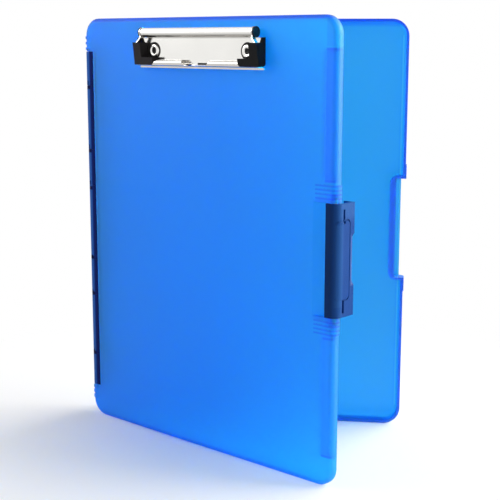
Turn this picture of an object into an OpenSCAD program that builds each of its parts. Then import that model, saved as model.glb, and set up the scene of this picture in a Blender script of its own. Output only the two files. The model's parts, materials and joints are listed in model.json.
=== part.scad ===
// Storage clipboard box: a two-half case that opens like a book, with a sprung paper clip on
// its lid, a piano-style hinge down one side and a rocking latch on the other.
// Row frame: X across the tray, +Y towards its back, +Z up, origin on the tray's bottom wall.
// "Half frame", used to shape each half: X across, Y up, Z = depth in from the half's face.

/* [Case] */
// Width of the case across its flat sides
case_w = 246; // [225:1:300]
// Height of the case
case_h = 318; // [300:1:380]
// Depth of the lid half, face to parting plane
lid_depth = 6.5; // [6.5:0.1:9]
// Depth of the tray half, parting plane to back
tray_depth = 12.5; // [12:0.5:30]
// Wall thickness of both halves
wall = 2; // [1.8:0.1:2.4]
// Radius of the four corners in face view
corner_r = 13; // [10:0.5:18]
// Radius of the lid's face edge
lid_edge_r = 3.5; // [3:0.1:4.5]
// Radius of the tray's back edge
tray_edge_r = 4.5; // [3:0.1:6]
// Angle that the lid stands open at rest
open_angle = 33.8; // [0:0.1:150]
// Gap left between the two rims when the case is shut
rim_gap = 0.3; // [0.2:0.1:0.6]
// Distance from the parting plane back to the origin
foot_y = 4; // [3:0.5:6]

/* [Hinge] */
// Distance of the hinge's ends from the case's top and bottom
hinge_margin = 25.1; // [22:0.1:30]
// Length of each end knuckle
knuckle_end = 26; // [15:1:30]
// Length of the two knuckles beside the end ones
knuckle_long = 49.5; // [30:0.5:55]
// Length of the two short knuckles, which leave the rest to the middle one
knuckle_short = 28.5; // [15:0.5:35]
// Outer radius of the knuckles
knuckle_r = 3; // [2.6:0.1:3.2]
// Radius of the hinge pin
hinge_pin_r = 1.1; // [0.8:0.1:1.4]
// Thickness of the hinge leaves
leaf_t = 1.5; // [1.2:0.1:1.6]
// How far the leaves stand out from the case's side
side_proud = 1.2; // [0.8:0.1:1.6]
// How far the leaves lie below the face
leaf_sunk = 0.2; // [0:0.05:0.3]
// Width of the leaves on the face
leaf_reach = 8.5; // [6:0.5:12]
// Gap along the leaves' inner edge
leaf_gap = 0.9; // [0.3:0.1:1.2]
// Play between the knuckles, and between a knuckle and its relief
knuckle_play = 0.3; // [0.2:0.05:0.5]

/* [Ridges] */
// Thickness of each ridge beside the hinge
ridge_t = 2; // [1.2:0.1:2.6]
// Spacing of the ridges beside the hinge
ridge_pitch = 4.2; // [3.6:0.1:5]
// Number of ridges at each end of the hinge
ridge_count = 3; // [1:1:3]
// How far the hinge-side ridges reach along the face
ridge_reach = 6; // [6:0.5:8]
// How far the ridges stand out from the face
face_proud = 0.3; // [0.1:0.1:0.5]
// Number of fine ridges at each end of the latch
fine_count = 4; // [1:1:4]
// Spacing of the fine ridges
fine_pitch = 2.8; // [2.2:0.1:3]
// Thickness of the fine ridges
fine_t = 1.4; // [0.8:0.1:1.6]
// Height of the fine ridges at the case's edge
fine_h = 0.75; // [0.3:0.05:0.8]

/* [Latch] */
// How far the latch's middle is below the case's middle
latch_low = 0.75; // [0:0.05:5]
// Length of the latch
latch_len = 76.7; // [60:0.1:90]
// Thickness of the latch's skin
latch_t = 1.8; // [1.5:0.1:2]
// How far the latch stands out from the case's side
latch_proud = 2; // [1.8:0.1:2.2]
// How far the latch stands out from the face
latch_lift = 0.4; // [0.2:0.1:0.6]
// Width of the latch on the face
latch_reach = 7.4; // [6:0.1:8]
// How far the latch's lip reaches in from the case's side
hook_reach = 6; // [5:0.1:6.5]
// Radius of the latch's pivot pin
latch_pin_r = 1; // [0.8:0.1:1.2]
// Distance of the pivot in from the case's side
pivot_in = 1.6; // [1.4:0.1:2]
// Distance of the pivot behind the lid's face
pivot_back = 3.1; // [3:0.1:3.3]
// How far the tray's outline steps in behind the latch
catch_step = 3.4; // [3:0.1:3.8]
// Distance of the tray's inset wall from the case's side, at the catch
notch_in = 9.8; // [9:0.1:11]
// How far that wall leans out towards the rim
notch_lean = 2.6; // [0:0.1:3]
// Width of the dished part of the lid beside the latch
dish_w = 18; // [15:0.5:24]

/* [Clip] */
// Width of the clip over its rubber corners
clip_w = 120.5; // [108:0.5:140]
// How far the clip is set towards the latch from the case's middle
clip_x = 2; // [-5:0.5:5]
// Distance from the lid's top edge to the top of the clip
clip_drop = 7.4; // [6:0.1:20]
// Height of the clip, top of the roll to the clamping lip
clip_h = 28.7; // [28:0.1:36]
// Outer radius of the roll along the clip's top
roll_r = 3.4; // [3.2:0.1:3.8]
// Thickness of the clip's sheet metal
sheet_t = 1; // [0.8:0.05:1.1]
// Height of the rubber corners off the lid's face, at their top
cheek_depth = 9.3; // [9:0.1:11]
// Radius of the clip's pivot rod
rod_r = 1.2; // [1:0.1:1.3]
// Distance of the rivets from the clip's ends
rivet_in = 14.75; // [14:0.05:20]
// Radius of the rivet heads
rivet_head_r = 5; // [4.5:0.1:5.2]
// Outer radius of the rivet shanks
rivet_r = 3.2; // [2.5:0.1:3.4]
// Width of the thumb scoop in the clamping bar
scoop_w = 29; // [20:1:34]

/* [Hidden] */
$fn = 64;

past = 1;                 // overrun of a cutting tool
press_play = 0.02;        // radial play of a pin that is held fast
run_play = 0.06;          // radial play of a pin that turns

// hinge
hinge_x = -case_w/2 - side_proud - rim_gap/2;
hinge_z = hinge_margin;
hinge_top = case_h - hinge_margin;
knuckle_mid = hinge_top - hinge_z - 2*(knuckle_end + knuckle_long + knuckle_short);
knuckle_lengths = [knuckle_end, knuckle_long, knuckle_short, knuckle_mid, knuckle_short,
    knuckle_long, knuckle_end];
function knuckle_start(i) = i == 0 ? hinge_z : knuckle_start(i - 1) + knuckle_lengths[i - 1];
relief_r = knuckle_r + knuckle_play;
leaf_corner_extra = 0.7;  // leaf corner radius over the shell's
backing_t = 1.2;          // extra thickness behind the leaf's recess
relief_wall = 1.8;        // wall kept behind the knuckles' relief
mark_w = 0.6;             // groove across a leaf at each knuckle boundary
mark_d = 0.5;
pocket_h = 3.5;           // blind pocket above each groove
pocket_d = 0.9;
pocket_x = [1.2, 3.4];    // the pocket's edges, in from the side
ridge_lead = 0.2;         // first ridge's distance from the hinge, over half a pitch
fine_lead = 3.2;          // first fine ridge's distance from the latch
pad_len = 12;             // pads beside the latch, on the lid and the tray
pad_proud = 0.8;
tray_pad_len = 11;
tray_pad_proud = 0.6;
pad_sunk = 0.2;           // the pads fade into the edge's rounding below the face

// latch
fit_gap = 0.3;            // general clearance between moving neighbours
case_depth = lid_depth + tray_depth;
latch_z = (case_h - latch_len)/2 - latch_low;
latch_top = latch_z + latch_len;
latch_corner_r = 6;
barrel_r = latch_pin_r + 1.5;
lip_t = latch_t;
lip_slack = 0.4;          // the lip's clearance behind the catch flange
catch_t = 1.8;
catch_back = lip_t + lip_slack;   // the catch flange, measured in from the tray's back
panel_proud = 0.5;
panel_margin = [12.6, 11.9];      // the panel's ends, from the latch's lower and upper ends
panel_z0 = latch_z + panel_margin[0];
panel_z1 = latch_top - panel_margin[1];
panel_far = 13.2;         // far edge of the panel, behind the lid's face
panel_near = 0.9;
panel_r = 2.2;
slot_back = 7.65;         // the through slots, behind the lid's face
slot_w = 2;
slot_margin = [2.8, 3.9]; // the slots' ends, from the latch's lower and upper ends
slot_end = [0.8, 1.5];    // short of the panel's lower end, and past its upper end
groove_w = 1.3;
groove_d = 0.7;
scallop_margin = [20.4, 20.6];    // the scallop's ends, from the latch's ends
scallop_slope = 3;
scallop_back = 3.6;       // its length along the side, and its depth at the back edge
scallop_d = 1.7;
dish_depth = pivot_back + 0.1;    // floor of the dish under the latch's flange
dish_flat = 9.5;          // flat part of the dish
pocket_wall = 5;          // face of the wall behind the barrel
bearing_len = 6;          // bearing blocks at the latch's ends
pin_bed = 4;              // depth of the pin in each block
notch_play = 0.6;
notch_r = 4.5;
lean_foot = 0.3;          // the leaning wall's foot, out from the notch's own wall

// lid's inner strips
strip_in = 9;
strip_t = 1.5;
strip_past = 4.5;
strip_margin = 21.4;      // strip ends, from the case's top and bottom
strip_gap = 13.5;         // strip ends, from the latch

// clip, on the lid's face: n is the height off the face
roll_lift = 0.7;          // gap under the roll
roll_n = roll_r + roll_lift;
roll_z = case_h - clip_drop - roll_r;
lip_z = roll_z + roll_r - clip_h;
ear_in = 5.2;             // the ears' outer faces, in from the clip's ends
ear_x = clip_w/2 - ear_in - sheet_t;
ear_r = roll_n - fit_gap;
roll_half = ear_x - fit_gap;
tube_in = 1;              // length of full wall at the roll's ends
rod_head_t = 0.8;
rod_head_r = ear_r - 0.1;
strap_x = clip_w/2 - 1.2;         // outer face of the cheeks, where the straps end
strap_z = [8, 3.9];       // the straps' flare, below the roll's axis
rivet_x = clip_w/2 - rivet_in;
rivet_z = roll_z - 12.95;
base_half = clip_w/2 - 0.7;
base_top = roll_z - 3.65;
base_low = lip_z + 2.2;
ring_groove_w = 1;
ring_groove_d = 0.6;
rivet_bore_r = rivet_r + 0.05;
shank_bore_r = rivet_r - 1;
crown_h = 1.4;            // the domed ring on a rivet's head, and the floor inside it
crown_r = 3.3;
crown_floor = 0.4;
washer_r = 6;
washer_t = 0.8;
bead_r = 2.25;
bead_n = 4.4;
bead_z = lip_z + 3.65;
lip_n = 0.35;             // the clamping lip's height off the bare lid
lip_h = [1.3, 1.7];       // height of the lip's flat front, and of its back
lip_half = clip_w/2 + 0.2;
scoop_d = 3.9;
scoop_r = 6;
grip_z = lip_z + 2.1;     // lower edge of the rubber corners
grip_rise = 16;           // up the cheek and along the bar
grip_run = 18.5;
grip_leg = 7.3;
grip_bar = 5.4;
grip_low_n = 1.4;
grip_toe_n = 6.9;         // height off the face at the lower edge
grip_round = 2.4;
grip_skin = 0.7;          // rubber over the cheek's front
grip_fillet = 0.8;
grip_flare = 1.7;         // how far their outer walls lean out, down to the lid
grip_ear = 3.6;           // how far those walls stand above the rest, close to the lid
grip_ear_n = [1.2, 2.8];  // that raised end's depth off the wall's low edge, top and foot
spring_wire_r = 0.35;
spring_r = (rod_r + roll_r - sheet_t)/2;
spring_turns = 8;
spring_len = 12;
spring_inset = 5;
wire_sides = 6;
wire_steps = 16;

plastic = [0.16, 0.5, 0.98, 0.75];
navy = [0.1, 0.16, 0.4];

// ---- frames ----
module tray_frame() {
    translate([0, tray_depth - foot_y, 0]) rotate([90, 0, 0]) children();
}
module lid_frame() {
    translate([hinge_x, -foot_y, 0]) rotate([0, 0, -open_angle]) translate([-hinge_x, -lid_depth, 0])
        mirror([0, 1, 0]) rotate([90, 0, 0]) children();
}
// Runs a profile up the left side, between two heights: profile x = in from the side, y = depth
module left_run(z0, z1) {
    translate([-case_w/2, z1, 0]) rotate([90, 0, 0]) linear_extrude(z1 - z0) children();
}
module right_run(z0, z1) {
    mirror([1, 0, 0]) left_run(z0, z1) children();
}
// Runs a profile across the lid's face: profile x = height off the face, y = height on the case
module across(x0, x1) {
    translate([x0, 0, 0]) rotate([0, 90, 0]) linear_extrude(x1 - x0) children();
}

// ---- profiles ----
// Rectangle from (x0, y0) to (x1, y1) with its low corner rounded
module nook(x0, y0, x1, y1, r) {
    intersection() {
        union() {
            translate([x0 + r, y0]) square([x1 - x0 - r, y1 - y0]);
            translate([x0, y0 + r]) square([x1 - x0, y1 - y0 - r]);
            translate([x0 + r, y0 + r]) circle(r);
        }
        translate([x0, y0]) square([x1 - x0, y1 - y0]);
    }
}
module rounded_rect(x0, y0, x1, y1, r) {
    translate([x0 + r, y0]) square([x1 - x0 - 2*r, y1 - y0]);
    translate([x0, y0 + r]) square([x1 - x0, y1 - y0 - 2*r]);
    for (x = [x0 + r, x1 - r], y = [y0 + r, y1 - r]) translate([x, y]) circle(r);
}
// Band that wraps from the face round the case's edge: side and face stand-out, thickness,
// reach along the face, height up the side, outer corner radius
module wrap_band(side, face, t, reach, height, r) {
    difference() {
        nook(-side, -face, reach, height, r);
        nook(t - side, t - face, reach + past, height + past, r - t);
    }
}

// ---- halves ----
// Solid pan: rounded in face view, its face edge rounded too
module pan(depth, edge_r, inset) {
    r = corner_r - inset;
    w = case_w - 2*corner_r;
    h = case_h - 2*corner_r;
    module edge_profile() {
        intersection() {
            translate([r, 0]) mirror([1, 0]) nook(0, 0, r, depth, edge_r);
            square([r, depth]);
        }
    }
    module bar(len) {
        rotate([90, 0, 0]) linear_extrude(len, center = true) edge_profile();
    }
    translate([0, case_h/2, 0]) {
        translate([-w/2, -h/2, 0]) cube([w, h, depth]);
        for (side = [0, 1]) rotate([0, 0, 180*side]) {
            translate([w/2, 0, 0]) bar(h);
            translate([0, h/2, 0]) rotate([0, 0, 90]) bar(w);
            translate([w/2, h/2, 0]) rotate_extrude(angle = 90) edge_profile();
            translate([-w/2, h/2, 0]) rotate([0, 0, 90]) rotate_extrude(angle = 90) edge_profile();
        }
    }
}
module hollow_pan(depth, edge_r) {
    difference() {
        pan(depth - rim_gap/2, edge_r, 0);
        translate([0, 0, wall]) pan(depth, edge_r - wall, wall);
    }
}
// Inside thickening that carries a hinge leaf and closes the wall behind the knuckles
module hinge_backing(depth) {
    left_run(hinge_z - wall, hinge_top + wall) {
        translate([wall/2, wall/2]) square([leaf_reach + wall, wall/2 + backing_t]);
        translate([wall/2, wall/2]) square([relief_in() + relief_wall - wall/2, depth - rim_gap/2 - wall/2]);
    }
}
function relief_in() = relief_r - side_proud - rim_gap/2;
// Everything outside a seated leaf's inner surface, and the barrel's relief
module hinge_recess(depth, edge_r) {
    left_run(hinge_z - fit_gap, hinge_top + fit_gap) {
        difference() {
            translate([-past - side_proud, -past])
                square([leaf_reach + leaf_gap + past + side_proud, depth + 2*past]);
            nook(leaf_t - side_proud, leaf_t + leaf_sunk, leaf_reach + case_w, depth + 3*past,
                edge_r + leaf_corner_extra - leaf_t);
        }
        translate([-side_proud - rim_gap/2, depth]) circle(relief_r);
    }
}
module ridge_group(z, step, depth, edge_r, reach) {
    for (i = [0 : ridge_count - 1])
        left_run(z + step*i*ridge_pitch - ridge_t/2, z + step*i*ridge_pitch + ridge_t/2)
            wrap_band(side_proud, face_proud, wall/2 + side_proud, reach, depth - rim_gap/2,
                edge_r + leaf_corner_extra);
}
module ridges(depth, edge_r) {
    lead = ridge_pitch/2 + ridge_lead;
    ridge_group(hinge_top + lead, 1, depth, edge_r, ridge_reach);
    ridge_group(hinge_z - lead, -1, depth, edge_r, ridge_reach);
}
// Pads on the side, from the latch's ends outwards
module latch_pads(play, len, proud, depth, edge_r) {
    for (span = [[latch_z - len, latch_z - play], [latch_top + play, latch_top + len]])
        right_run(span[0], span[1])
            wrap_band(proud, -pad_sunk, wall/2 + proud, edge_r + wall, depth - rim_gap/2, edge_r + proud);
}

// ---- lid ----
module dish_profile() {
    rim = lid_depth - rim_gap/2;
    polygon([[dish_w, 0], [dish_flat + 2, dish_depth - 0.4], [dish_flat, dish_depth],
        [pocket_wall, dish_depth], [pocket_wall, rim], [pocket_wall + wall, rim],
        [pocket_wall + wall, dish_depth + wall], [dish_flat, dish_depth + wall],
        [dish_flat + 2.6, dish_depth + wall - 0.5], [dish_w + 1, wall]]);
}
// Fine ridges that taper off along the face
module fine_ridges() {
    lowest = latch_z - fine_lead - (fine_count - 1)*fine_pitch;
    for (start = [lowest, latch_top + fine_lead], i = [0 : fine_count - 1]) let (z = start + i*fine_pitch)
        right_run(z - fine_t/2, z + fine_t/2) intersection() {
            wrap_band(pad_proud, fine_h, wall/2 + fine_h, dish_w, lid_depth - rim_gap/2,
                lid_edge_r + fine_h);
            polygon([[-pad_proud, -fine_h], [0, -fine_h], [dish_w, 0], [dish_w, wall], [0, lid_depth],
                [-pad_proud, lid_depth]]);
        }
}
module latch_seat() {
    z0 = latch_z - fit_gap;
    z1 = latch_top + fit_gap;
    rim = lid_depth - rim_gap/2;
    right_run(z0 - wall, z1 + wall) dish_profile();
    for (z = [z0 - wall, z1]) right_run(z, z + wall) nook(0, 0, dish_w + wall/2, rim, lid_edge_r);
    for (z = [z0 - bearing_len, z1]) right_run(z, z + bearing_len)
        nook(0, 0, pocket_wall + wall, rim, lid_edge_r);
}
module latch_void() {
    z0 = latch_z - fit_gap;
    z1 = latch_top + fit_gap;
    right_run(z0, z1) difference() {
        translate([-past - side_proud, -past]) square([dish_w + past + side_proud, lid_depth + 2*past]);
        dish_profile();
        translate([pocket_wall + wall, dish_depth + wall]) square([dish_w, lid_depth]);
    }
    translate([case_w/2 - pivot_in, latch_z - fit_gap - pin_bed, pivot_back]) rotate([-90, 0, 0])
        cylinder(r = latch_pin_r + press_play, h = latch_len + 2*(fit_gap + pin_bed));
}
module inner_strip(z0, z1) {
    top = lid_depth + strip_past;
    right_run(z0, z1) translate([strip_in, wall/2]) square([strip_t, top - wall/2]);
    for (z = [z0, z1 - strip_t]) right_run(z, z + strip_t)
        translate([wall/2, wall/2]) square([strip_in, lid_depth - rim_gap/2 - wall/2]);
}
module lid_shell() color(plastic) lid_frame() difference() {
    union() {
        difference() {
            hollow_pan(lid_depth, lid_edge_r);
            right_run(latch_z - fit_gap, latch_top + fit_gap)
                translate([-past, -past]) square([dish_w + past, lid_depth + 2*past]);
        }
        hinge_backing(lid_depth);
        ridges(lid_depth, lid_edge_r);
        latch_pads(fit_gap, pad_len, pad_proud, lid_depth, lid_edge_r);
        fine_ridges();
        latch_seat();
        inner_strip(strip_margin, latch_z - strip_gap);
        inner_strip(latch_top + strip_gap + 1, case_h - strip_margin);
    }
    hinge_recess(lid_depth, lid_edge_r);
    latch_void();
    for (side = [-1, 1]) translate([clip_x + side*rivet_x, rivet_z, -past])
        cylinder(r = rivet_bore_r, h = wall + 2*past);
}

// ---- tray ----
module tray_notch(grow, from, to) {
    z0 = latch_z - notch_play - grow;
    z1 = latch_top + notch_play + grow;
    translate([0, 0, from]) linear_extrude(to - from)
        rounded_rect(case_w/2 - notch_in - grow, z0, case_w/2 + 3*notch_r, z1, notch_r + grow);
}
// The notch above the catch, with its inset wall leaning out towards the rim
module leaning_notch() {
    low = catch_back + catch_t;
    function lean(d) = notch_in - lean_foot - notch_lean*(d - low)/(tray_depth - low);
    difference() {
        tray_notch(0, low, tray_depth + past);
        right_run(latch_z - wall, latch_top + wall)
            polygon([[lean(low - past), low - past], [lean(tray_depth + 2*past), tray_depth + 2*past],
                [2*notch_in, tray_depth + 2*past], [2*notch_in, low - past]]);
    }
}
module tray_shell() color(plastic) tray_frame() difference() {
    union() {
        hollow_pan(tray_depth, tray_edge_r);
        hinge_backing(tray_depth);
        ridges(tray_depth, tray_edge_r);
        latch_pads(notch_play, tray_pad_len, tray_pad_proud, tray_depth, tray_edge_r);
        intersection() {
            pan(tray_depth - rim_gap/2, tray_edge_r, 0);
            tray_notch(wall, 0, tray_depth);
        }
    }
    hinge_recess(tray_depth, tray_edge_r);
    leaning_notch();
    tray_notch(0, -past, catch_back);
    translate([case_w/2 - catch_step, latch_z - notch_play, -past])
        cube([catch_step + past + side_proud, latch_len + 2*notch_play, tray_depth + 2*past]);
}

// ---- hinge ----
// One leaf: own = parity of the knuckles it carries
module hinge_leaf(depth, edge_r, own, bore_r) {
    corner = edge_r + leaf_corner_extra;
    module at_barrel() translate([-side_proud - rim_gap/2, depth]) children();
    module skin(d) {
        difference() {
            translate([-side_proud - past, -past]) square([leaf_reach + side_proud + 2*past, depth + past]);
            nook(d - side_proud, d + leaf_sunk, leaf_reach + 2*past, depth + past, corner - d);
        }
    }
    difference() {
        union() {
            difference() {
                left_run(hinge_z, hinge_top)
                    wrap_band(side_proud, -leaf_sunk, leaf_t, leaf_reach, depth - rim_gap/2, corner);
                for (i = [0 : 6]) if (i % 2 != own)
                    left_run(knuckle_start(i) - knuckle_play/2,
                        knuckle_start(i) + knuckle_lengths[i] + knuckle_play/2)
                        at_barrel() circle(relief_r);
            }
            for (i = [0 : 6]) if (i % 2 == own)
                left_run(knuckle_start(i) + (i == 0 ? 0 : knuckle_play/2),
                    knuckle_start(i) + knuckle_lengths[i] - (i == 6 ? 0 : knuckle_play/2))
                    at_barrel() circle(knuckle_r);
        }
        left_run(hinge_z - past, hinge_top + past) at_barrel() circle(bore_r);
        for (i = [1 : 6]) {
            z = knuckle_start(i);
            left_run(z - mark_w/2, z + mark_w/2) intersection() {
                skin(mark_d);
                translate([-side_proud - past, -past])
                    square([leaf_reach + side_proud + 2*past, depth - relief_r + past]);
            }
            left_run(z, z + pocket_h) intersection() {
                skin(pocket_d);
                translate([pocket_x[0], -past]) square([pocket_x[1] - pocket_x[0], depth]);
            }
        }
    }
}
module hinge_leaf_tray() color(navy) tray_frame() hinge_leaf(tray_depth, tray_edge_r, 0,
    hinge_pin_r + press_play);
module hinge_leaf_lid() color(navy) lid_frame() hinge_leaf(lid_depth, lid_edge_r, 1,
    hinge_pin_r + run_play);
module hinge_pin() color("silver") translate([hinge_x, -foot_y, hinge_z + knuckle_play])
    cylinder(r = hinge_pin_r, h = hinge_top - hinge_z - 2*knuckle_play);

// ---- latch ----
module latch_skin(extra) {
    difference() {
        nook(-latch_proud - extra, -latch_lift - extra, latch_reach, case_depth, latch_corner_r + extra);
        nook(latch_t - latch_proud, latch_t - latch_lift, latch_reach + past, case_depth + past,
            latch_corner_r - latch_t);
    }
}
module latch_profile() {
    latch_skin(0);
    polygon([[latch_t/2 - latch_proud, case_depth - lip_t], [hook_reach, case_depth - lip_t],
        [hook_reach, case_depth - lip_t/2], [hook_reach - lip_t/2, case_depth],
        [latch_t/2 - latch_proud, case_depth]]);
    translate([pivot_in, pivot_back]) circle(barrel_r);
}
// Block on the latch's outer side over the panel's outline, grown by w and cut into the skin by d
module panel_block(w, d) {
    translate([case_w/2 + latch_proud - d, 0, 0]) rotate([0, 90, 0]) linear_extrude(past + d)
        rounded_rect(-panel_far - w, panel_z0 - w, w - panel_near, panel_z1 + w, panel_r + w);
}
module latch_panel() {
    intersection() {
        right_run(panel_z0, panel_z1) latch_skin(panel_proud);
        panel_block(0, latch_proud + pivot_in);
    }
}
// Groove round the far half of the panel, from slot to slot
module panel_groove() {
    intersection() {
        difference() {
            panel_block(groove_w, groove_d);
            panel_block(0, groove_d + past);
        }
        right_run(latch_z, latch_top) translate([-latch_proud - 2*past, slot_back])
            square([3*past + groove_d, case_depth]);
    }
}
module scallop() {
    z0 = latch_z + scallop_margin[0];
    z1 = latch_top - scallop_margin[1];
    out = case_w/2 + latch_proud;
    intersection() {
        right_run(z0 - past, z1 + past) polygon([[-latch_proud - past, case_depth - scallop_back],
            [-latch_proud, case_depth - scallop_back], [scallop_d - latch_proud, case_depth],
            [scallop_d - latch_proud, case_depth + past], [-latch_proud - past, case_depth + past]]);
        linear_extrude(case_depth + 2*past) polygon([[out + past, z0], [out, z0],
            [out - scallop_d, z0 + scallop_slope], [out - scallop_d, z1 - scallop_slope], [out, z1],
            [out + past, z1]]);
    }
}
module latch_clip() color(navy) lid_frame() difference() {
    union() {
        right_run(latch_z, latch_top) latch_profile();
        latch_panel();
    }
    right_run(latch_z - past, latch_top + past) translate([pivot_in, pivot_back])
        circle(latch_pin_r + run_play);
    for (span = [[latch_z + slot_margin[0], panel_z0 - slot_end[0]],
        [panel_z1 - slot_end[1], latch_top - slot_margin[1]]])
        right_run(span[0], span[1]) translate([-latch_proud - past, slot_back - slot_w/2])
            square([latch_proud + past, slot_w]);
    panel_groove();
    scallop();
}
module latch_pin() color("silver") lid_frame()
    translate([case_w/2 - pivot_in, latch_z - fit_gap - pin_bed + press_play, pivot_back]) rotate([-90, 0, 0])
        cylinder(r = latch_pin_r, h = latch_len + 2*(fit_gap + pin_bed - press_play));

// ---- clip ----
module clip_frame() {
    lid_frame() translate([clip_x, 0, 0]) children();
}
module clip_base() color("gainsboro") clip_frame() difference() {
    union() {
        translate([-base_half, base_low, -sheet_t]) cube([2*base_half, base_top - base_low, sheet_t]);
        translate([-roll_half, base_low, -sheet_t]) cube([2*roll_half, roll_z - base_low, sheet_t]);
        across(-roll_half, roll_half) translate([roll_n, roll_z]) circle(roll_r);
    }
    across(-roll_half - past, roll_half + past) translate([roll_n, roll_z]) circle(rod_r + press_play);
    ends = [[-roll_half - past, -roll_half + tube_in], [2*tube_in - roll_half, roll_half - 2*tube_in],
        [roll_half - tube_in, roll_half + past]];
    for (span = ends) across(span[0], span[1]) translate([roll_n, roll_z]) circle(roll_r - sheet_t);
    for (side = [-1, 1]) translate([side*rivet_x, rivet_z, 0]) {
        translate([0, 0, -sheet_t - past]) cylinder(r = rivet_bore_r, h = sheet_t + 2*past);
        translate([0, 0, -sheet_t - past]) difference() {
            cylinder(r = rivet_head_r + ring_groove_w, h = past + ring_groove_d);
            cylinder(r = rivet_head_r, h = past + ring_groove_d);
        }
    }
}
// Ear, strap and cheek in side view, then the bent sheet they are cut from in face view
module cheek_profile() {
    translate([roll_n, roll_z]) circle(ear_r);
    n = cheek_depth - grip_skin;
    polygon([[roll_n - 2, roll_z], [roll_n + 0.4, roll_z - 5.2], [roll_n + 1.4, roll_z - 8.2],
        [grip_low_n + grip_skin, roll_z - 8.8], [grip_low_n + grip_skin, grip_z + grip_skin],
        [grip_toe_n - grip_skin, grip_z + grip_skin], [n - 0.3, roll_z - 9.2],
        [roll_n + ear_r - 0.9, roll_z - 2.2]]);
}
module bent_sheet() {
    bend = [roll_z - strap_z[0], roll_z - strap_z[1]];
    polygon([[ear_x, case_h], [ear_x, bend[1]], [strap_x - sheet_t, bend[0]], [strap_x - sheet_t, lip_z],
        [strap_x, lip_z], [strap_x, bend[0]], [ear_x + sheet_t, bend[1]], [ear_x + sheet_t, case_h]]);
}
module bar_profile() {
    intersection() {
        translate([bead_n, bead_z]) difference() {
            circle(bead_r);
            circle(bead_r - sheet_t);
        }
        translate([bead_n - 0.5, lip_z]) square([2*bead_r, 4*bead_r]);
    }
    polygon([[lip_n, lip_z], [lip_n + sheet_t, lip_z], [lip_n + sheet_t, lip_z + lip_h[0]],
        [bead_n, bead_z - bead_r], [bead_n, bead_z - bead_r + sheet_t],
        [bead_n - 0.5, bead_z - bead_r + sheet_t], [lip_n, lip_z + lip_h[1]]]);
}
module jaw_solid() {
    difference() {
        across(-strap_x, strap_x) bar_profile();
        translate([0, 0, -2*cheek_depth]) linear_extrude(2*cheek_depth)
            rounded_rect(-scoop_w/2, bead_z + bead_r - scoop_d, scoop_w/2, roll_z, scoop_r);
    }
    across(-lip_half, lip_half) translate([lip_n, lip_z]) square([sheet_t, lip_h[0]]);
    for (side = [0, 1]) mirror([side, 0, 0]) intersection() {
        across(ear_x - past, strap_x + past) cheek_profile();
        translate([0, 0, -2*cheek_depth]) linear_extrude(2*cheek_depth) bent_sheet();
    }
}
module clip_jaw() color("gainsboro") clip_frame() difference() {
    jaw_solid();
    across(-clip_w/2, clip_w/2) translate([roll_n, roll_z]) circle(rod_r + run_play);
}
module clip_rod() color("silver") clip_frame() {
    head = ear_x + sheet_t + fit_gap;
    across(-head, head) translate([roll_n, roll_z]) circle(rod_r);
    for (x = [-head - rod_head_t, head])
        across(x, x + rod_head_t) translate([roll_n, roll_z]) circle(rod_head_r);
}
// Outer wall of a rubber corner: in plan, in side view, then in face view
module grip_side() {
    x1 = clip_w/2;
    top = grip_z + grip_rise;
    intersection() {
        translate([0, grip_z, 0]) rotate([-90, 0, 0]) linear_extrude(grip_rise + grip_ear)
            polygon([[strap_x, grip_low_n], [x1 + grip_flare, grip_low_n], [x1, cheek_depth],
                [strap_x, cheek_depth]]);
        across(strap_x - past, x1 + 2*grip_flare) polygon([[grip_low_n, grip_z], [grip_toe_n, grip_z],
            [cheek_depth, top], [grip_low_n + grip_ear_n[1], top],
            [grip_low_n + grip_ear_n[0], top + grip_ear], [grip_low_n, top + grip_ear]]);
        translate([0, 0, -2*cheek_depth]) linear_extrude(2*cheek_depth)
            rounded_rect(x1 - grip_run, grip_z, x1 + grip_flare, case_h, grip_round);
    }
}
module grip(side) {
    x1 = clip_w/2;
    difference() {
        mirror([side < 0 ? 1 : 0, 0, 0]) {
            grip_side();
            intersection() {
                translate([0, 0, -2*cheek_depth]) linear_extrude(2*cheek_depth) difference() {
                    rounded_rect(x1 - grip_run, grip_z, x1, grip_z + grip_rise, grip_round);
                    rounded_rect(x1 - 2*grip_run, grip_z + grip_bar, x1 - grip_leg,
                        grip_z + 2*grip_rise, grip_fillet);
                }
                across(x1 - 2*grip_run, x1 + past) polygon([[grip_low_n, grip_z], [grip_toe_n, grip_z],
                    [cheek_depth, grip_z + grip_rise], [grip_low_n, grip_z + grip_rise]]);
            }
        }
        jaw_solid();
    }
}
module grip_left() color([0.1, 0.1, 0.1]) clip_frame() grip(-1);
module grip_right() color([0.1, 0.1, 0.1]) clip_frame() grip(1);

// Coil along X: rings of points swept round a helix
module clip_spring(x0) {
    steps = spring_turns*wire_steps;
    points = [for (i = [0 : steps], j = [0 : wire_sides - 1])
        let (a = 360*i/wire_steps, b = 360*j/wire_sides, r = spring_r + spring_wire_r*cos(b))
        [x0 + spring_len*i/steps + spring_wire_r*sin(b), r*sin(a), r*cos(a)]];
    sides = [for (i = [0 : steps - 1], j = [0 : wire_sides - 1]) let (k = (j + 1) % wire_sides)
        [i*wire_sides + j, (i + 1)*wire_sides + j, (i + 1)*wire_sides + k, i*wire_sides + k]];
    first = [for (j = [0 : wire_sides - 1]) j];
    last = [for (j = [wire_sides - 1 : -1 : 0]) steps*wire_sides + j];
    translate([0, roll_z, -roll_n]) polyhedron(points, concat([first], sides, [last]));
}
module clip_spring_left() color("silver") clip_frame() clip_spring(spring_inset - roll_half);
module clip_spring_right() color("silver") clip_frame() clip_spring(roll_half - spring_inset - spring_len);

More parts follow.
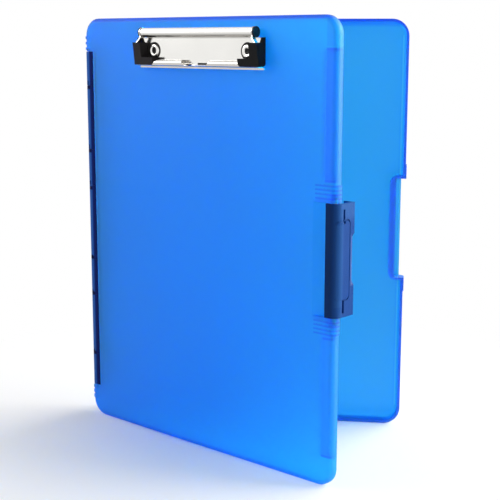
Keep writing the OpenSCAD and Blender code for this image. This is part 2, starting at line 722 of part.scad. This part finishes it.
// Domed ring with a closed middle, on a shank that is hollow from behind
module rivet(side) {
    back = wall + washer_t;
    flare = 1.2;
    flare_t = 0.7;
    dome_r = (pow(rivet_head_r - crown_r, 2) + crown_h*crown_h)/(2*crown_h);
    translate([side*rivet_x, rivet_z, 0]) rotate_extrude() {
        translate([0, -sheet_t - crown_floor]) square([crown_r, crown_floor]);
        translate([0, -sheet_t]) square([rivet_r, sheet_t/2]);
        translate([shank_bore_r, -sheet_t]) square([rivet_r - shank_bore_r, sheet_t + back]);
        intersection() {
            translate([crown_r, dome_r - crown_h - sheet_t]) circle(dome_r);
            translate([0, -sheet_t - crown_h]) square([rivet_head_r, crown_h]);
        }
        translate([shank_bore_r, back]) square([rivet_r + flare - shank_bore_r, flare_t]);
    }
}
module clip_rivet_left() color("gainsboro") clip_frame() rivet(-1);
module clip_rivet_right() color("gainsboro") clip_frame() rivet(1);
module washer(side) {
    translate([side*rivet_x, rivet_z, wall]) difference() {
        cylinder(r = washer_r, h = washer_t);
        translate([0, 0, -past]) cylinder(r = rivet_bore_r, h = washer_t + 2*past);
    }
}
module clip_washer_left() color("silver") clip_frame() washer(-1);
module clip_washer_right() color("silver") clip_frame() washer(1);

tray_shell();
lid_shell();
hinge_leaf_tray();
hinge_leaf_lid();
hinge_pin();
latch_clip();
latch_pin();
clip_base();
clip_jaw();
clip_rod();
clip_spring_left();
clip_spring_right();
clip_rivet_left();
clip_rivet_right();
clip_washer_left();
clip_washer_right();
grip_left();
grip_right();
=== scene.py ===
import json
import math

import bmesh
import bpy
from mathutils import Matrix, Vector


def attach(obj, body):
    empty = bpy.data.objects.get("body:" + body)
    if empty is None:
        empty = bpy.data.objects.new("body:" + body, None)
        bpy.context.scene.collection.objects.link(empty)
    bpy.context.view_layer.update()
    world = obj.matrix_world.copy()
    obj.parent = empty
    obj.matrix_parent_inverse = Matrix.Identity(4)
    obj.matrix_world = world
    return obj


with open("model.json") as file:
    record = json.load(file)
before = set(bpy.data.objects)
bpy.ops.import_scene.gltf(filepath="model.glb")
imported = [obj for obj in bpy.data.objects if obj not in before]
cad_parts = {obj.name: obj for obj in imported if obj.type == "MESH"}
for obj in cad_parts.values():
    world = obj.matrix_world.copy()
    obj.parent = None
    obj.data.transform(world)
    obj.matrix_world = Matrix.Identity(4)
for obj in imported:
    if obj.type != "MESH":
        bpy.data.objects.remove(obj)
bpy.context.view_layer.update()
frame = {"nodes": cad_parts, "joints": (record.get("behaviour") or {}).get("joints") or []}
nodes = frame["nodes"]
print("frame loaded:", len(nodes), "nodes")

scene = bpy.context.scene
scene.view_settings.view_transform = "Standard"

# The paper clip's hinge line runs across the lid, just off its face
jawJoint = next(joint for joint in frame["joints"] if joint["name"] == "jaw_lift")
jawPlace = Vector(jawJoint["pos_m"])
up = Vector((0, 0, 1))
lidAcross = -Vector(jawJoint["axis"])
lidOff = lidAcross.cross(up)

# Sockets of a colour mix: the colour below, the one laid over it, and the result
mixBelow, mixOver, mixResult = 6, 7, 2


# Small helpers for the shader editor
def newMaterial(name):
    material = bpy.data.materials.new(name)
    material.use_nodes = True
    material.node_tree.nodes.clear()
    return material, material.node_tree


def addNode(tree, kind, **settings):
    node = tree.nodes.new(kind)
    for key, value in settings.items():
        setattr(node, key, value)
    return node


def setInputs(node, **values):
    for name, value in values.items():
        node.inputs[name.replace("_", " ")].default_value = value


def placeGroup(tree, group, **values):
    node = tree.nodes.new("ShaderNodeGroup")
    node.node_tree = group
    setInputs(node, **values)
    return node


def newGroup(name, inputs, outputs):
    group = bpy.data.node_groups.new(name, "ShaderNodeTree")
    for socketName, kind, value in inputs:
        socket = group.interface.new_socket(socketName, in_out="INPUT", socket_type=kind)
        socket.default_value = value
    for socketName, kind in outputs:
        group.interface.new_socket(socketName, in_out="OUTPUT", socket_type=kind)
    start = group.nodes.new("NodeGroupInput")
    end = group.nodes.new("NodeGroupOutput")
    return group, start, end


# Slow drift of a surface's colour and sheen, in object space
def makeDriftGroup():
    group, start, end = newGroup(
        "surfaceDrift",
        [("Scale", "NodeSocketFloat", 20.0), ("Light", "NodeSocketColor", (1, 1, 1, 1)),
         ("Dark", "NodeSocketColor", (0.5, 0.5, 0.5, 1)), ("Rough Low", "NodeSocketFloat", 0.3),
         ("Rough High", "NodeSocketFloat", 0.5)],
        [("Color", "NodeSocketColor"), ("Roughness", "NodeSocketFloat")])
    coords = addNode(group, "ShaderNodeTexCoord")
    noise = addNode(group, "ShaderNodeTexNoise")
    setInputs(noise, Detail=3.0, Roughness=0.5)
    group.links.new(coords.outputs["Object"], noise.inputs["Vector"])
    group.links.new(start.outputs["Scale"], noise.inputs["Scale"])
    mix = addNode(group, "ShaderNodeMix", data_type="RGBA")
    group.links.new(noise.outputs["Fac"], mix.inputs["Factor"])
    group.links.new(start.outputs["Dark"], mix.inputs[mixBelow])
    group.links.new(start.outputs["Light"], mix.inputs[mixOver])
    group.links.new(mix.outputs[mixResult], end.inputs["Color"])
    spread = addNode(group, "ShaderNodeMapRange")
    group.links.new(noise.outputs["Fac"], spread.inputs["Value"])
    group.links.new(start.outputs["Rough Low"], spread.inputs["To Min"])
    group.links.new(start.outputs["Rough High"], spread.inputs["To Max"])
    group.links.new(spread.outputs["Result"], end.inputs["Roughness"])
    return group


# Fine moulded or drawn grain, as a height
def makeGrainGroup():
    group, start, end = newGroup(
        "fineGrain",
        [("Scale", "NodeSocketFloat", 1500.0), ("Stretch", "NodeSocketVector", (1, 1, 1))],
        [("Height", "NodeSocketFloat")])
    coords = addNode(group, "ShaderNodeTexCoord")
    mapping = addNode(group, "ShaderNodeMapping")
    noise = addNode(group, "ShaderNodeTexNoise")
    setInputs(noise, Detail=2.0, Roughness=0.6)
    group.links.new(coords.outputs["Object"], mapping.inputs["Vector"])
    group.links.new(start.outputs["Stretch"], mapping.inputs["Scale"])
    group.links.new(mapping.outputs["Vector"], noise.inputs["Vector"])
    group.links.new(start.outputs["Scale"], noise.inputs["Scale"])
    group.links.new(noise.outputs["Fac"], end.inputs["Height"])
    return group


# A soft-edged box as a mask: across and off are measured from a given point, up from the floor
def makePatchGroup(name, across, point):
    group, start, end = newGroup(
        name,
        [("Across From", "NodeSocketFloat", 0.0), ("Across To", "NodeSocketFloat", 0.1),
         ("Up From", "NodeSocketFloat", 0.0), ("Up To", "NodeSocketFloat", 0.1),
         ("Off From", "NodeSocketFloat", -1.0), ("Off To", "NodeSocketFloat", 1.0),
         ("Soft", "NodeSocketFloat", 0.0005)],
        [("Mask", "NodeSocketFloat")])
    coords = addNode(group, "ShaderNodeTexCoord")
    off = across.cross(up)
    ramps = []
    for word, axis, zero in (("Across", across, across.dot(point)), ("Up", up, 0.0),
                             ("Off", off, off.dot(point))):
        along = addNode(group, "ShaderNodeVectorMath", operation="DOT_PRODUCT")
        along.inputs[1].default_value = axis
        place = addNode(group, "ShaderNodeMath", operation="SUBTRACT")
        place.inputs[1].default_value = zero
        group.links.new(coords.outputs["Object"], along.inputs[0])
        group.links.new(along.outputs["Value"], place.inputs[0])
        for first, second in ((place.outputs[0], start.outputs[word + " From"]),
                              (start.outputs[word + " To"], place.outputs[0])):
            gap = addNode(group, "ShaderNodeMath", operation="SUBTRACT")
            group.links.new(first, gap.inputs[0])
            group.links.new(second, gap.inputs[1])
            ramp = addNode(group, "ShaderNodeMath", operation="DIVIDE", use_clamp=True)
            group.links.new(gap.outputs[0], ramp.inputs[0])
            group.links.new(start.outputs["Soft"], ramp.inputs[1])
            ramps.append(ramp.outputs[0])
    mask = ramps[0]
    for ramp in ramps[1:]:
        both = addNode(group, "ShaderNodeMath", operation="MULTIPLY")
        group.links.new(mask, both.inputs[0])
        group.links.new(ramp, both.inputs[1])
        mask = both.outputs[0]
    group.links.new(mask, end.inputs["Mask"])
    return group


driftGroup = makeDriftGroup()
grainGroup = makeGrainGroup()
lidPatch = makePatchGroup("lidPatch", lidAcross, jawPlace)
trayPatch = makePatchGroup("trayPatch", Vector((1, 0, 0)), Vector((0, 0, 0)))
everyWhere = (-1.0, 1.0)        # a reach past every side of the part, in metres


def addGrain(tree, shader, grain):
    height = placeGroup(tree, grainGroup, Scale=grain["scale"], Stretch=grain["stretch"])
    bump = addNode(tree, "ShaderNodeBump")
    setInputs(bump, Strength=grain["strength"], Distance=grain["distance"])
    tree.links.new(height.outputs["Height"], bump.inputs["Height"])
    tree.links.new(bump.outputs["Normal"], shader.inputs["Normal"])


# Thick plastic and edges show a deeper colour than a single wall
def addDepthTint(tree, output, depth):
    tint = addNode(tree, "ShaderNodeVolumeAbsorption")
    setInputs(tint, Color=(*depth["color"], 1), Density=depth["density"])
    tree.links.new(tint.outputs["Volume"], output.inputs["Volume"])


# Lays a second colour over a finish in soft-edged patches, in metres; a reach left out is everywhere
def addTone(tree, shader, group, tone):
    below = shader.inputs["Base Color"].links[0].from_socket
    total = None
    for patch in tone["patches"]:
        box = placeGroup(tree, group, Soft=patch["soft"])
        for word in ("Across", "Up", "Off"):
            low, high = patch.get(word.lower(), everyWhere)
            box.inputs[word + " From"].default_value = low
            box.inputs[word + " To"].default_value = high
        scaled = addNode(tree, "ShaderNodeMath", operation="MULTIPLY_ADD")
        scaled.inputs[1].default_value = patch["amount"]
        scaled.inputs[2].default_value = 0.0
        tree.links.new(box.outputs["Mask"], scaled.inputs[0])
        if total is not None:
            tree.links.new(total.outputs[0], scaled.inputs[2])
        total = scaled
    mix = addNode(tree, "ShaderNodeMix", data_type="RGBA", clamp_factor=True)
    mix.inputs[mixOver].default_value = (*tone["color"], 1)
    tree.links.new(total.outputs[0], mix.inputs["Factor"])
    tree.links.new(below, mix.inputs[mixBelow])
    tree.links.new(mix.outputs[mixResult], shader.inputs["Base Color"])


def makeFinish(name, look):
    material, tree = newMaterial(name)
    output = addNode(tree, "ShaderNodeOutputMaterial")
    shader = addNode(tree, "ShaderNodeBsdfPrincipled")
    tree.links.new(shader.outputs["BSDF"], output.inputs["Surface"])
    drift = placeGroup(tree, driftGroup, Scale=look["scale"], Light=(*look["light"], 1),
                       Dark=(*look["dark"], 1), Rough_Low=look["rough"][0],
                       Rough_High=look["rough"][1])
    tree.links.new(drift.outputs["Color"], shader.inputs["Base Color"])
    tree.links.new(drift.outputs["Roughness"], shader.inputs["Roughness"])
    addGrain(tree, shader, look["grain"])
    for socket, value in look["shader"].items():
        shader.inputs[socket].default_value = value
    if "depth" in look:
        addDepthTint(tree, output, look["depth"])
    for tone in look.get("tones", []):
        addTone(tree, shader, look["patchGroup"], tone)
    return material


frostGrain = {"scale": 900.0, "stretch": (1, 1, 1), "strength": 0.25, "distance": 0.0002}
platedGrain = {"scale": 300.0, "stretch": (1, 1, 1), "strength": 0.04, "distance": 0.0002}

# Where strips, webs and ridges thicken the lid, its colour is deeper; the deeper bands across the
# ridges are also painted shade
thickLid = {
    "strips": ((0.0214, 0.1064, 0.18), (0.2101, 0.2974, 0.45)),     # bottom, top and amount of each
    "stripCore": {"across": (0.1118, 0.1204), "soft": 0.0012},
    "stripFeather": {"across": (0.1080, 0.1240), "soft": 0.0042},
    "aboveAmount": 0.40,        # from the upper strip to the lid's top
    "bead": {"across": (0.1200, 0.1270), "soft": 0.0012, "amount": 0.30},   # the lid's right edge
    "rim": {"up": (0.3150, 0.3230), "soft": 0.0012, "amount": 0.75},
    "web": {"height": 0.0022, "soft": 0.0006, "amount": 0.45},      # closes a strip's end
    # bands of painted shade across the lid's ridges, deeper also for their thickness
    "ridge": {"starts": (0.1997, 0.1083), "count": 4, "pitch": 0.0028, "half": 0.0008,
              "across": (0.104, 0.1225), "soft": 0.0005, "amount": 0.6},
}


def reachAround(middle, half):
    return (middle - half, middle + half)


def lidStrips():
    core, top = thickLid["stripCore"], thickLid["strips"][-1][1]
    patches = [thickLid["bead"],
               {**core, "up": (top, everyWhere[1]), "amount": thickLid["aboveAmount"]}]
    for low, high, amount in thickLid["strips"]:
        for part in (core, thickLid["stripFeather"]):
            patches.append({**part, "up": (low, high), "amount": amount})
    return patches


def lidWebs():
    web, ridge = thickLid["web"], thickLid["ridge"]
    patches = [thickLid["rim"]]
    for low, high, _ in thickLid["strips"]:
        for z in (low, high - web["height"]):
            patches.append({"across": thickLid["stripCore"]["across"], "up": (z, z + web["height"]),
                            "soft": web["soft"], "amount": web["amount"]})
    # painted shade across each ridge
    for first in ridge["starts"]:
        for i in range(ridge["count"]):
            patches.append({"across": ridge["across"],
                            "up": reachAround(first + i*ridge["pitch"], ridge["half"]),
                            "soft": ridge["soft"], "amount": ridge["amount"]})
    return patches


# Frosted lid, with painted light: lighter towards the right, and a painted whitish sheen in its upper
# left
lidLook = {
    "scale": 14.0,              # of the slow drift from dark to light, and from smooth to rough
    "light": (0.008, 0.84, 0.98),
    "dark": (0.006, 0.80, 0.97),
    "rough": (0.55, 0.65),
    "grain": frostGrain,
    "shader": {"Transmission Weight": 0.84, "IOR": 1.49, "Specular IOR Level": 0.12},
    "depth": {"color": (0.0, 0.58, 1.0), "density": 600.0},
    "patchGroup": lidPatch,
    "tones": [
        {"color": (0.0, 1.0, 1.0),              # painted light on the right side
         "patches": [{"across": (0.01, 0.9), "soft": 0.12, "amount": 0.50}]},
        {"color": (0.075, 0.86, 0.98),          # painted sheen in the upper left corner
         "patches": [{"across": (-0.9, 0.02), "up": (0.19, 0.9), "soft": 0.11, "amount": 0.75}]},
        {"color": (0.0, 0.52, 0.84), "patches": lidStrips()},
        # deeper rim and webs where the lid is thicker, and painted shade across the ridges
        {"color": (0.0, 0.30, 0.78), "patches": lidWebs()},
    ],
}
frostedLid = makeFinish("frostedLid", lidLook)

# Frosted tray, with its rim seen through its own depth at the top and the right edge, and two lines
# inside it: a painted shadow line and a painted highlight beside it
trayLook = {
    "scale": 14.0,
    "light": (0.055, 0.61, 0.91),
    "dark": (0.050, 0.57, 0.89),
    "rough": (0.50, 0.60),
    "grain": frostGrain,
    "shader": {"Transmission Weight": 0.78, "IOR": 1.49, "Specular IOR Level": 0.5},
    "depth": {"color": (0.0, 0.6, 1.0), "density": 500.0},
    "patchGroup": trayPatch,
    "tones": [
        {"color": (0.0, 0.30, 0.95),            # deep rim
         "patches": [
             {"up": (0.3118, 0.3300), "soft": 0.0026, "amount": 0.75},
             {"across": (0.1195, 0.1400), "soft": 0.0008, "amount": 0.20},
             # painted shadow line inside the rim
             {"across": (0.1170, 0.1182), "up": (0.0120, 0.3060), "soft": 0.0005, "amount": 0.25}]},
        {"color": (0.16, 0.88, 0.98),           # painted highlight, a pale line inside the rim
         "patches": [
             {"across": (0.1181, 0.1196), "up": (0.0120, 0.3060), "soft": 0.0005, "amount": 0.50}]},
    ],
}
frostedTray = makeFinish("frostedTray", trayLook)

knuckles = {
    "middle": 0.1585,
    "gapPlaces": (0.028, 0.0575, 0.107),        # above and below the middle
    "gapHalf": 0.0018,
    "gapShade": {"across": (-0.1245, -0.1196), "soft": 0.0008, "amount": 1.0},
}


def knuckleGaps():
    patches = []
    for side in (-1, 1):
        for place in knuckles["gapPlaces"]:
            reach = reachAround(knuckles["middle"] + side*place, knuckles["gapHalf"])
            patches.append({**knuckles["gapShade"], "up": reach})
    return patches


# Satin navy hinge: its rolled back edge carries painted light, as it would catch more light than its
# flat, and the line beside it and the gaps between its knuckles carry painted shade
hingeLook = {
    "scale": 60.0,
    "light": (0.002, 0.024, 0.24),
    "dark": (0.001, 0.018, 0.21),
    "rough": (0.34, 0.46),
    "grain": {"scale": 1400.0, "stretch": (1, 1, 1), "strength": 0.25, "distance": 0.0002},
    "shader": {"IOR": 1.49, "Specular IOR Level": 0.04},
    "patchGroup": lidPatch,
    "tones": [
        {"color": (0.04, 0.16, 0.52),           # painted light on the rolled back edge
         "patches": [{"across": (-0.1400, -0.1198), "soft": 0.0014, "amount": 0.75}]},
        {"color": (0.002, 0.008, 0.075),        # painted shade: the line beside it, and the gaps
         "patches": [{"across": (-0.1206, -0.1150), "soft": 0.0022, "amount": 0.80}] + knuckleGaps()},
    ],
}
navyPlastic = makeFinish("navyPlastic", hingeLook)

# Navy latch: painted light makes its panel and its side lighter, most of all above the panel, and
# painted shade darkens its edge over the lid's face
latchLook = {
    "scale": 60.0,
    "light": (0.009, 0.059, 0.25),
    "dark": (0.006, 0.049, 0.22),
    "rough": (0.34, 0.46),
    "grain": {"scale": 1400.0, "stretch": (1, 1, 1), "strength": 0.45, "distance": 0.0003},
    "shader": {"IOR": 1.49, "Specular IOR Level": 0.07},
    "patchGroup": lidPatch,
    "tones": [
        {"color": (0.04, 0.16, 0.42),           # painted light on the panel, side, and upper side
         "patches": [
             {"up": (0.1270, 0.1830), "off": (-0.0105, -0.0046), "soft": 0.0006, "amount": 0.14},
             {"off": (-0.0120, -0.0048), "soft": 0.0028, "amount": 0.16},
             {"up": (0.1830, 0.2500), "off": (-0.0300, -0.0048), "soft": 0.0060, "amount": 0.30}]},
        {"color": (0.001, 0.014, 0.070),        # painted shade on the edge over the lid's face
         "patches": [{"off": (-0.0046, 0.0100), "soft": 0.0010, "amount": 0.75}]},
    ],
}
navyLatch = makeFinish("navyLatch", latchLook)

# Chrome of the clip's base, with painted shade under its roll and a painted shadow beside the thumb
# scoop
plateLook = {
    "scale": 40.0,
    "light": (0.86, 0.85, 0.82),
    "dark": (0.80, 0.79, 0.76),
    "rough": (0.10, 0.18),
    "grain": platedGrain,
    "shader": {"Metallic": 1.0},
    "patchGroup": lidPatch,
    "tones": [
        {"color": (0.30, 0.29, 0.27),           # shade under the roll
         "patches": [{"up": (0.3026, 0.3066), "soft": 0.0014, "amount": 0.9}]},
        {"color": (0.01, 0.01, 0.01),           # painted shadow beside the thumb scoop
         "patches": [
             {"across": (-0.0020, 0.0082), "up": (0.2843, 0.2861), "soft": 0.0004, "amount": 1.0}]},
    ],
}
chromePlate = makeFinish("chromePlate", plateLook)

# Chrome of the jaw, with a painted shade line along the top of its clamping bar
barLook = {
    "scale": 40.0,
    "light": (0.62, 0.60, 0.57),
    "dark": (0.55, 0.53, 0.50),
    "rough": (0.12, 0.20),
    "grain": platedGrain,
    "shader": {"Metallic": 1.0},
    "patchGroup": lidPatch,
    "tones": [
        {"color": (0.22, 0.21, 0.20),           # painted shade line along the bar
         "patches": [
             {"across": (-0.042, 0.042), "up": (0.2871, 0.2900), "soft": 0.0006, "amount": 0.85}]},
    ],
}
chromeBar = makeFinish("chromeBar", barLook)

# Pins, springs and washers
steelLook = {
    "scale": 90.0,
    "light": (0.62, 0.61, 0.59),
    "dark": (0.50, 0.49, 0.47),
    "rough": (0.22, 0.36),
    "grain": {"scale": 900.0, "stretch": (1, 1, 0.08), "strength": 0.2, "distance": 0.0001},
    "shader": {"Metallic": 1.0},
}
drawnSteel = makeFinish("drawnSteel", steelLook)

# The clip's blackened rod, whose black end is also painted shade for the roll's open end, and the small
# pieces in its rivets' heads, black as painted shade
blackLook = {
    "scale": 110.0,
    "light": (0.016, 0.016, 0.017),
    "dark": (0.005, 0.005, 0.006),
    "rough": (0.35, 0.50),
    "grain": {"scale": 900.0, "stretch": (1, 1, 1), "strength": 0.15, "distance": 0.0001},
    "shader": {"IOR": 1.6, "Specular IOR Level": 0.10},
}
blackSteelAndShade = makeFinish("blackSteelAndShade", blackLook)

# Rubber corners of the jaw; the left one is lighter
rubberLook = {
    "scale": 120.0,
    "light": (0.012, 0.012, 0.013),
    "dark": (0.006, 0.006, 0.007),
    "rough": (0.50, 0.68),
    "grain": {"scale": 2200.0, "stretch": (1, 1, 1), "strength": 0.35, "distance": 0.0002},
    "shader": {"IOR": 1.5, "Specular IOR Level": 0.08},
    "patchGroup": lidPatch,
    "tones": [
        {"color": (0.050, 0.044, 0.046),        # lighter left corner
         "patches": [{"across": (-0.1, -0.02), "soft": 0.001, "amount": 0.50}]},
    ],
}
gripRubber = makeFinish("gripRubber", rubberLook)

finishes = {
    frostedTray: ["tray_shell"],
    frostedLid: ["lid_shell"],
    navyPlastic: ["hinge_leaf_tray", "hinge_leaf_lid"],
    navyLatch: ["latch_clip"],
    chromePlate: ["clip_base", "clip_rivet_left", "clip_rivet_right"],
    chromeBar: ["clip_jaw"],
    blackSteelAndShade: ["clip_rod"],
    drawnSteel: ["hinge_pin", "latch_pin", "clip_spring_left", "clip_spring_right",
                 "clip_washer_left", "clip_washer_right"],
    gripRubber: ["grip_left", "grip_right"],
}
for finish, names in finishes.items():
    for name in names:
        mesh = nodes[name].data
        mesh.materials.clear()
        mesh.materials.append(finish)
print("finishes set")


# Small turned pieces in each rivet's head, in black as painted shade: a ring in the groove round the
# head, the dished core and the inner collar
rivetParts = {
    "across": 0.0455,           # from the middle of the jaw's hinge line
    "up": -0.01295,
    "rollHeight": 0.0041,       # the hinge line's height off the lid
    "steps": 72,
    "weld": 1e-6,
    "sliver": 1e-7,
    # Profiles: radius and height off the lid, in millimetres
    "shadeRing": [(5.04, 0.45), (5.04, 1.08), (5.18, 1.18), (6.05, 1.18), (6.20, 1.02), (5.94, 1.00),
             (5.94, 0.45)],
    "core": [(0.0, 1.40), (0.0, 1.46), (0.9, 1.50), (1.35, 1.72), (1.75, 1.86), (2.05, 1.80),
             (2.15, 1.40)],
    "collar": [(2.75, 1.40), (2.75, 1.62), (2.95, 1.78), (3.2, 1.78), (3.3, 1.55), (3.3, 1.40)],
    "mmPerMetre": 1000,
}


# Frame on the lid's face: x across, y up, z off the face
def clipPlace(across, rise):
    origin = jawPlace - lidOff*rivetParts["rollHeight"] + lidAcross*across + Vector((0, 0, rise))
    turn = Matrix((lidAcross, up, lidOff)).transposed()
    return Matrix.Translation(origin) @ turn.to_4x4()


def turnedPiece(name, profile, place, finish, body):
    steps, count, scale = rivetParts["steps"], len(profile), rivetParts["mmPerMetre"]
    points, faces = [], []
    for step in range(steps):
        angle = 2*math.pi*step/steps
        points += [(r*math.cos(angle)/scale, r*math.sin(angle)/scale, h/scale) for r, h in profile]
        here, there = step*count, (step + 1) % steps*count
        for i in range(count):
            j = (i + 1) % count
            faces.append((here + i, there + i, there + j, here + j))
    mesh = bpy.data.meshes.new(name)
    mesh.from_pydata(points, [], faces)
    mesh.validate()
    work = bmesh.new()
    work.from_mesh(mesh)
    bmesh.ops.remove_doubles(work, verts=work.verts, dist=rivetParts["weld"])
    bmesh.ops.dissolve_degenerate(work, edges=work.edges, dist=rivetParts["sliver"])
    bmesh.ops.recalc_face_normals(work, faces=work.faces)
    for face in work.faces:
        face.smooth = True
    work.to_mesh(mesh)
    work.free()
    piece = bpy.data.objects.new(name, mesh)
    scene.collection.objects.link(piece)
    piece.matrix_world = place
    mesh.materials.append(finish)
    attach(piece, body)


# black pieces as painted shade in the groove and hollows of each rivet's head
for side, word in ((-1, "left"), (1, "right")):
    place = clipPlace(side*rivetParts["across"], rivetParts["up"])
    for part in ("shadeRing", "core", "collar"):
        turnedPiece(f"rivet_{part}_{word}", rivetParts[part], place, blackSteelAndShade, "lid")
print("clip pieces set")


# Moulded parts have no knife edges
edgeRounds = {
    "widths": {"grip_left": 0.0015, "grip_right": 0.0015, "latch_clip": 0.0003},
    "segments": 3,
    "angle": 35,                # degrees; flatter edges stay as they are
}
for name, width in edgeRounds["widths"].items():
    rounding = nodes[name].modifiers.new("edgeRound", "BEVEL")
    rounding.width = width
    rounding.segments = edgeRounds["segments"]
    rounding.limit_method = "ANGLE"
    rounding.angle_limit = math.radians(edgeRounds["angle"])
    rounding.harden_normals = True
print("edges rounded")


# One where a ray is seen straight, in a gloss or through the plastic, and zero where it only lights
def addSeenRays(tree):
    path = addNode(tree, "ShaderNodeLightPath")
    seen = path.outputs["Is Camera Ray"]
    for kind in ("Is Glossy Ray", "Is Transmission Ray"):
        larger = addNode(tree, "ShaderNodeMath", operation="MAXIMUM")
        tree.links.new(seen, larger.inputs[0])
        tree.links.new(path.outputs[kind], larger.inputs[1])
        seen = larger.outputs[0]
    return seen


# White paper under the part, which fades into the backdrop further out
floorLook = {
    "half": 30.0,
    "drop": 0.0002,             # keeps it clear of the part's foot
    "paper": (0.93, 0.93, 0.93),
    "fadeFrom": 0.08,
    "fadeTo": 0.34,
}


def makeFloor():
    half = floorLook["half"]
    corners = [(-half, -half, 0), (half, -half, 0), (half, half, 0), (-half, half, 0)]
    mesh = bpy.data.meshes.new("floor")
    mesh.from_pydata(corners, [], [(0, 1, 2, 3)])
    floor = bpy.data.objects.new("floor", mesh)
    scene.collection.objects.link(floor)
    floor.location.z = -floorLook["drop"]
    material, tree = newMaterial("paperFloor")
    output = addNode(tree, "ShaderNodeOutputMaterial")
    paper = addNode(tree, "ShaderNodeBsdfDiffuse")
    setInputs(paper, Color=(*floorLook["paper"], 1))
    glow = addNode(tree, "ShaderNodeEmission")
    coords = addNode(tree, "ShaderNodeTexCoord")
    distance = addNode(tree, "ShaderNodeVectorMath", operation="LENGTH")
    fade = addNode(tree, "ShaderNodeMapRange")
    setInputs(fade, From_Min=floorLook["fadeFrom"], From_Max=floorLook["fadeTo"])
    weight = addNode(tree, "ShaderNodeMath", operation="MULTIPLY")
    mix = addNode(tree, "ShaderNodeMixShader")
    tree.links.new(coords.outputs["Object"], distance.inputs[0])
    tree.links.new(distance.outputs["Value"], fade.inputs["Value"])
    tree.links.new(addSeenRays(tree), weight.inputs[0])
    tree.links.new(fade.outputs["Result"], weight.inputs[1])
    tree.links.new(weight.outputs[0], mix.inputs["Fac"])
    tree.links.new(paper.outputs["BSDF"], mix.inputs[1])
    tree.links.new(glow.outputs["Emission"], mix.inputs[2])
    tree.links.new(mix.outputs["Shader"], output.inputs["Surface"])
    mesh.materials.append(material)


# White all round where it is seen, and dimmer where it lights the part
worldLook = {
    "color": (1, 1, 1),
    "seenLevel": 1.0,
    "lightLevel": 0.2,
}


def makeWorld():
    world = bpy.data.worlds.new("studio")
    world.use_nodes = True
    tree = world.node_tree
    tree.nodes.clear()
    output = addNode(tree, "ShaderNodeOutputWorld")
    background = addNode(tree, "ShaderNodeBackground")
    setInputs(background, Color=(*worldLook["color"], 1))
    level = addNode(tree, "ShaderNodeMapRange")
    setInputs(level, To_Min=worldLook["lightLevel"], To_Max=worldLook["seenLevel"])
    tree.links.new(addSeenRays(tree), level.inputs["Value"])
    tree.links.new(level.outputs["Result"], background.inputs["Strength"])
    tree.links.new(background.outputs["Background"], output.inputs["Surface"])
    scene.world = world


# Key on the right, a weak fill on the left, a small lamp on the lid's upper left, and one from behind
caseMiddle = (0.0, -0.03, 0.16)
lamps = {
    "keyLamp": {"place": (1.7, 0.1, 0.8), "target": caseMiddle, "size": 1.3, "power": 42.0},
    "fillLamp": {"place": (-1.7, -0.15, 0.9), "target": caseMiddle, "size": 1.2, "power": 5.0},
    "cornerLamp": {"place": (-0.60, -0.12, 0.60), "target": (-0.1, -0.02, 0.3), "size": 0.42,
                   "power": 1.3},
    "backLamp": {"place": (1.25, 1.2, 0.8), "target": caseMiddle, "size": 1.5, "power": 38.0},
}


def addLamp(name, settings):
    lamp = bpy.data.lights.new(name, "AREA")
    lamp.shape = "DISK"
    lamp.size = settings["size"]
    lamp.energy = settings["power"]
    holder = bpy.data.objects.new(name, lamp)
    scene.collection.objects.link(holder)
    holder.location = settings["place"]
    aim = Vector(settings["target"]) - Vector(settings["place"])
    holder.rotation_euler = aim.to_track_quat("-Z", "Y").to_euler()
    holder.visible_camera = False


makeFloor()
makeWorld()
for name, settings in lamps.items():
    addLamp(name, settings)
print("stage set")


view = {
    "place": (0.12034, -0.86936, 0.30028),
    "yaw": -7.771,              # degrees, from +Y towards +X
    "down": 10.509,
    "roll": 0.107,
    "focal": 1119.66,           # in pixels of a 500-pixel frame
    "frame": 500.0,
    "sensor": 36.0,             # millimetres
    "nearest": 0.01,
}


def makeCamera():
    yaw, down = math.radians(view["yaw"]), math.radians(view["down"])
    forward = Vector((math.sin(yaw)*math.cos(down), math.cos(yaw)*math.cos(down), -math.sin(down)))
    data = bpy.data.cameras.new("camera")
    data.sensor_width = view["sensor"]
    data.lens = view["sensor"]*view["focal"]/view["frame"]
    data.clip_start = view["nearest"]
    camera = bpy.data.objects.new("camera", data)
    scene.collection.objects.link(camera)
    turn = forward.to_track_quat("-Z", "Y").to_matrix().to_4x4()
    roll = Matrix.Rotation(math.radians(view["roll"]), 4, "Z")
    camera.matrix_world = Matrix.Translation(view["place"]) @ turn @ roll
    scene.camera = camera


makeCamera()
print("camera set")
